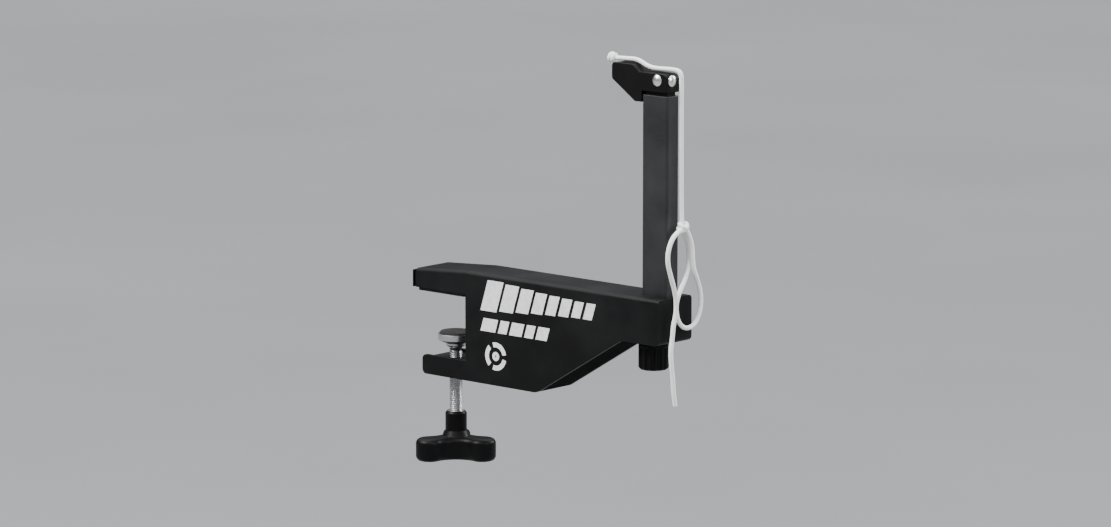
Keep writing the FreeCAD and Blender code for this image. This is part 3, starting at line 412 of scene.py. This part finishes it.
def even_steps(path, step):
    """The same line in even steps of about one length."""
    lengths = [0.0]
    for a, b in zip(path, path[1:]):
        lengths.append(lengths[-1] + (b - a).length)
    count = max(2, round(lengths[-1] / step))
    result = []
    index = 0
    for i in range(count + 1):
        want = lengths[-1] * i / count
        while index < len(path) - 2 and lengths[index + 1] < want:
            index += 1
        span = lengths[index + 1] - lengths[index]
        share = (want - lengths[index]) / span if span > 0 else 0.0
        result.append(path[index].lerp(path[index + 1], share))
    return result, lengths[-1]


def carried_frames(path):
    """Two directions across the line at each point, carried along without twist."""
    tangents = []
    for i in range(len(path)):
        a = path[max(0, i - 1)]
        b = path[min(len(path) - 1, i + 1)]
        tangents.append((b - a).normalized())
    side = tangents[0].orthogonal().normalized()
    frames = []
    for tangent in tangents:
        side = (side - tangent * side.dot(tangent)).normalized()
        frames.append((tangent, side, tangent.cross(side)))
    return frames


def braid_height(angle, along):
    """Relief of a round braid, 0 in the hollows and 1 on top of a strand."""
    u = BRAID_STRANDS * (angle + BRAID_LEAN * along) / TAU
    v = BRAID_STRANDS * (angle - BRAID_LEAN * along) / TAU
    over = (math.floor(u) + math.floor(v)) % 2 == 0
    ridge = u if over else v
    cross = v if over else u
    lift = math.sin(math.pi * (ridge - math.floor(ridge)))
    dive = math.sin(math.pi * (cross - math.floor(cross)))
    return lift ** 0.7 * (0.55 + 0.45 * dive)


def braided_tube(name, path, diameter):
    """A braided cord along a line, with rounded ends."""
    path, length = even_steps(path, BRAID_STEP)
    frames = carried_frames(path)
    rings = []
    count = len(path)
    for i, (centre, (tangent, side, up)) in enumerate(zip(path, frames)):
        along = length * i / (count - 1)
        to_end = min(along, length - along)
        full = diameter / 2
        rounding = full / 2
        if to_end < rounding:
            share = 1 - to_end / rounding
            full *= math.sqrt(max(0.0, 1 - END_ROUNDNESS * share ** 2))
        ring = []
        for k in range(BRAID_SIDES):
            angle = TAU * k / BRAID_SIDES
            radius = full - BRAID_RELIEF * (1 - braid_height(angle, along))
            ring.append(centre + (side * math.cos(angle) + up * math.sin(angle)) * radius)
        rings.append(ring)
    return ring_mesh(name, rings), path, length


def overhand_path(centre, axis, reach, size):
    """Centreline of a small tied knot: turns round the axis, then a strand back across them."""
    axis = axis.normalized()
    side = axis.orthogonal().normalized()
    other = axis.cross(side)
    points = []
    for i in range(TURN_STEPS + 1):
        t = i / TURN_STEPS
        angle = TAU * KNOT_TURNS * t
        swell = size * (0.55 + 0.45 * math.sin(math.pi * t))
        points.append(
            centre + (side * math.cos(angle) + other * math.sin(angle)) * swell
            + axis * (reach * (0.5 - t))
        )
    first, last = points[-1], points[0]
    for i in range(1, RETURN_STEPS + 1):
        t = i / RETURN_STEPS
        bow = math.sin(math.pi * t)
        straight = first.lerp(last, t)
        outward = straight - centre
        outward -= axis * outward.dot(axis)
        outward = outward.normalized() if outward.length > 1e-6 else side
        points.append(straight + outward * bow * size * 0.55)
    return points


def braided_piece(name, node, path):
    """A braided piece on the head that stands for a CAD node; also its line and length."""
    mesh, line, length = braided_tube(name, path, CORD)
    piece = new_piece(name, mesh, FIBRE, "head")
    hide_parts(node)
    return piece, line, length


def cord_piece(name, node, route):
    piece, line, length = braided_piece(name, node, spline_points(route))
    tuple(line[0])
    [tuple(p) for p in line]


def knot_piece(name, node, axis, reach, size):
    return braided_piece(name, node, overhand_path(middle(node), axis, reach, size))[0]


hanging_knot = knot_piece("hanging_knot", "cord_knot", Vector((0.25, 0.25, 1)), 5.2 * MM, 2.5 * MM)
stopper = knot_piece("stopper", "stopper_knot", Vector((1, 0.1, 0.1)), 4.2 * MM, 2.1 * MM)
cord_piece("net_cord_run", "cord_run", RUN_ROUTE)
cord_piece("net_cord_loop", "cord_loop", LOOP_ROUTE)
cord_piece("net_cord_tail", "cord_tail", TAIL_ROUTE)


# ---------------------------------------------------------------- clamp screw

SCREW_RADIUS = 4.0 * MM
THREAD_PITCH = 1.25 * MM
THREAD_DEPTH = 0.72 * MM
CREST_SHARE = 0.12
FLANK_SHARE = 0.78
RINGS_A_TURN = 10
SCREW_SIDES = 48
FOOT_CHAMFER = 0.7 * MM
PLAIN_LENGTH = 4.0 * MM
NOSE_LENGTH = 2.3 * MM
NOSE_RADIUS = 2.9 * MM
NOSE_CHAMFER = 0.5 * MM


def thread_radius(angle, z):
    """Radius of a 60 degree thread with flattened crests and roots."""
    phase = (z / THREAD_PITCH - angle / TAU) % 1.0
    slope = abs(2 * phase - 1)
    dip = (slope - CREST_SHARE) / FLANK_SHARE
    return SCREW_RADIUS - THREAD_DEPTH * min(1.0, max(0.0, dip))


def screw_ring(z, radius_at):
    """A ring of points at height z whose radius follows the angle."""
    points = []
    for k in range(SCREW_SIDES):
        angle = TAU * k / SCREW_SIDES
        radius = radius_at(angle)
        points.append(Vector((radius * math.cos(angle), radius * math.sin(angle), z)))
    return points


def threaded_rod(name, bottom, thread_top, shoulder, top):
    """A screw: chamfered foot, thread, run-out groove, plain shoulder and nose, in one skin."""
    rings = []
    steps = round((thread_top - bottom) / (THREAD_PITCH / RINGS_A_TURN))
    for i in range(steps + 1):
        z = bottom + (thread_top - bottom) * i / steps
        crest = min(SCREW_RADIUS, SCREW_RADIUS - FOOT_CHAMFER + (z - bottom))
        rings.append(screw_ring(z, lambda angle: min(crest, thread_radius(angle, z))))
    root = SCREW_RADIUS - THREAD_DEPTH
    for z, radius in (
        (thread_top + 0.2 * MM, root), (thread_top + 0.8 * MM, root),
        (thread_top + 1.0 * MM, SCREW_RADIUS), (shoulder - 0.1 * MM, SCREW_RADIUS),
        (shoulder, SCREW_RADIUS - 0.1 * MM), (shoulder, NOSE_RADIUS),
        (top - NOSE_CHAMFER, NOSE_RADIUS), (top, NOSE_RADIUS - NOSE_CHAMFER),
    ):
        rings.append(screw_ring(z, lambda angle: radius))
    return ring_mesh(name, rings)


def clamp_screw_piece():
    bottom, top = low("clamp_screw")[2], high("clamp_screw")[2]
    shoulder = top - NOSE_LENGTH
    mesh = threaded_rod("threaded_clamp_screw", bottom, shoulder - PLAIN_LENGTH, shoulder, top)
    piece = new_piece("threaded_clamp_screw", mesh, ZINC, "screw")
    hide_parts("clamp_screw")


clamp_screw_piece()


# ---------------------------------------------------------------- printed marks

# Millimetres along X and Z on the cheek, and degrees.
ROW_START = 34.5
UPPER_ROW = ((13, 19), (11, 17), (10, 15), (9, 13), (8, 12), (8, 11), (7, 10), (7, 10))
UPPER_ROW_MIDDLE = 3.5
UPPER_ROW_GAP = 2.4
LOWER_ROW = (12, 7, 10, 7, 9)
LOWER_ROW_BOTTOM = -18.5
LOWER_ROW_HEIGHT = 8.0
LOWER_ROW_GAP = 2.2
BAR_LEAN = 0.32
RING_CENTRE = (47.0, -33.0)
RING_BAND = (5.6, 8.6)
RING_DOT = (0.6, 2.8)
RING_START = 12
SECTOR_ANGLE = 96
SECTOR_STEPS = 20
FULL_RING = TAU * 0.999
INK_SINK = 0.01 * MM
INK_LIFT = 0.04 * MM


def prism_shape(bm, corners, y_from, y_to):
    """A thin plate in the XZ plane from an outline of (x, z) corners."""
    front = [bm.verts.new((x, y_from, z)) for x, z in corners]
    back = [bm.verts.new((x, y_to, z)) for x, z in corners]
    bm.faces.new(front)
    bm.faces.new(list(reversed(back)))
    for i in range(len(corners)):
        j = (i + 1) % len(corners)
        bm.faces.new((front[j], front[i], back[i], back[j]))


def slanted_bar(left, bottom, width, height):
    """A leaning bar's four corners."""
    shift = height * BAR_LEAN
    return [
        (left, bottom), (left + width, bottom), (left + width + shift, bottom + height),
        (left + shift, bottom + height),
    ]


def ring_sector(inner, outer, start, stop):
    """A piece of the flat ring, between two radii and two angles."""
    angles = [start + (stop - start) * i / SECTOR_STEPS for i in range(SECTOR_STEPS + 1)]
    points = []
    for radius, turn in ((outer, angles), (inner, reversed(angles))):
        for angle in turn:
            points.append((
                RING_CENTRE[0] + radius * math.cos(angle),
                RING_CENTRE[1] + radius * math.sin(angle),
            ))
    return points


def printed_marks(name):
    """Rows of plain leaning bars and a ring in white ink on the near cheek."""
    shapes = []
    left = ROW_START
    for width, height in UPPER_ROW:
        shapes.append(slanted_bar(left, UPPER_ROW_MIDDLE - height / 2, width, height))
        left += width + UPPER_ROW_GAP
    left = ROW_START
    for width in LOWER_ROW:
        shapes.append(slanted_bar(left, LOWER_ROW_BOTTOM, width, LOWER_ROW_HEIGHT))
        left += width + LOWER_ROW_GAP
    for third in range(3):
        start = math.radians(120 * third + RING_START)
        shapes.append(ring_sector(*RING_BAND, start, start + math.radians(SECTOR_ANGLE)))
    shapes.append(ring_sector(*RING_DOT, 0, FULL_RING))
    face = -high("bracket_channel")[1]
    bm = bmesh.new()
    for corners in shapes:
        corners = [(x * MM, z * MM) for x, z in corners]
        prism_shape(bm, corners, face + INK_SINK, face - INK_LIFT)
    bmesh.ops.recalc_face_normals(bm, faces=bm.faces)
    mesh = bpy.data.meshes.new(name)
    bm.to_mesh(mesh)
    bm.free()
    piece = new_piece(name, mesh, INK, "bracket", smooth=False)


printed_marks("printed_marks")


# ---------------------------------------------------------------- floor and light

FLOOR = -0.76
FLOOR_SIZE = 60
WALL_RADIUS = 12
WALL_TOP = 12
WALL_SIDES = 128
LIGHT_AIM = Vector((80, 0, 20)) * MM


def make_backdrop():
    """A round pale wall behind everything, seen by the camera and left out of reflections."""
    bm = bmesh.new()
    bmesh.ops.create_circle(bm, segments=WALL_SIDES, radius=WALL_RADIUS)
    walls = bmesh.ops.extrude_edge_only(bm, edges=list(bm.edges))["geom"]
    for vertex in bm.verts:
        vertex.co.z = FLOOR
    for item in walls:
        if isinstance(item, bmesh.types.BMVert):
            item.co.z = WALL_TOP
    mesh = bpy.data.meshes.new("backdrop")
    bm.to_mesh(mesh)
    bm.free()
    wall = bpy.data.objects.new("backdrop", mesh)
    bpy.context.scene.collection.objects.link(wall)
    n = Nodes("pale_wall")
    n.set(Roughness=0.9, Specular_IOR_Level=0.0)
    cloud = n.span(n.noise(0.3, 3, 0.5), 0.3, 0.7, 0, 1)
    n.finish(n.mix(cloud, (0.57, 0.575, 0.58), (0.61, 0.615, 0.62)))
    mesh.materials.append(n.material)
    wall.visible_diffuse = False
    wall.visible_glossy = False
    wall.visible_shadow = False
    wall.visible_transmission = False


def make_floor():
    bpy.ops.mesh.primitive_plane_add(size=FLOOR_SIZE, location=(0, 0, FLOOR))
    floor = bpy.context.object
    floor.name = "floor"
    n = Nodes("pale_floor")
    n.set(Roughness=0.85)
    cloud = n.span(n.noise(1.2, 3, 0.5), 0.3, 0.7, 0, 1)
    n.finish(n.mix(cloud, (0.205, 0.207, 0.210), (0.225, 0.227, 0.230)))
    floor.data.materials.append(n.material)


def make_world():
    """Soft light from above that fades to a dim horizon, which keeps black surfaces black."""
    world = bpy.data.worlds.new("pale_room")
    world.use_nodes = True
    tree = world.node_tree
    background = tree.nodes["Background"]
    background.inputs["Color"].default_value = (0.95, 0.97, 1.0, 1)
    direction = tree.nodes.new("ShaderNodeTexCoord")
    split = tree.nodes.new("ShaderNodeSeparateXYZ")
    rise = tree.nodes.new("ShaderNodeMapRange")
    for key, number in (("From Min", 0.38), ("From Max", 0.86), ("To Min", 0.05), ("To Max", 3.5)):
        rise.inputs[key].default_value = number
    tree.links.new(direction.outputs["Generated"], split.inputs["Vector"])
    tree.links.new(split.outputs["Z"], rise.inputs["Value"])
    tree.links.new(rise.outputs["Result"], background.inputs["Strength"])
    bpy.context.scene.world = world


def area_light(name, place, size, power, tint=(1, 1, 1)):
    """A round lamp at a place, turned to the object."""
    data = bpy.data.lights.new(name, "AREA")
    data.shape = "DISK"
    data.size = size
    data.energy = power
    data.color = tint
    light = bpy.data.objects.new(name, data)
    light.location = place
    light.rotation_mode = "QUATERNION"
    light.rotation_quaternion = (LIGHT_AIM - Vector(place)).to_track_quat("-Z", "Y")
    bpy.context.scene.collection.objects.link(light)


make_floor()
make_backdrop()
make_world()
area_light("key", (-0.9, -1.7, 2.0), 1.0, 120, (1.0, 0.98, 0.95))
area_light("side", (2.2, -0.2, 0.9), 0.6, 22, (0.94, 0.97, 1.0))
area_light("back", (0.9, 1.9, 0.9), 0.9, 40)
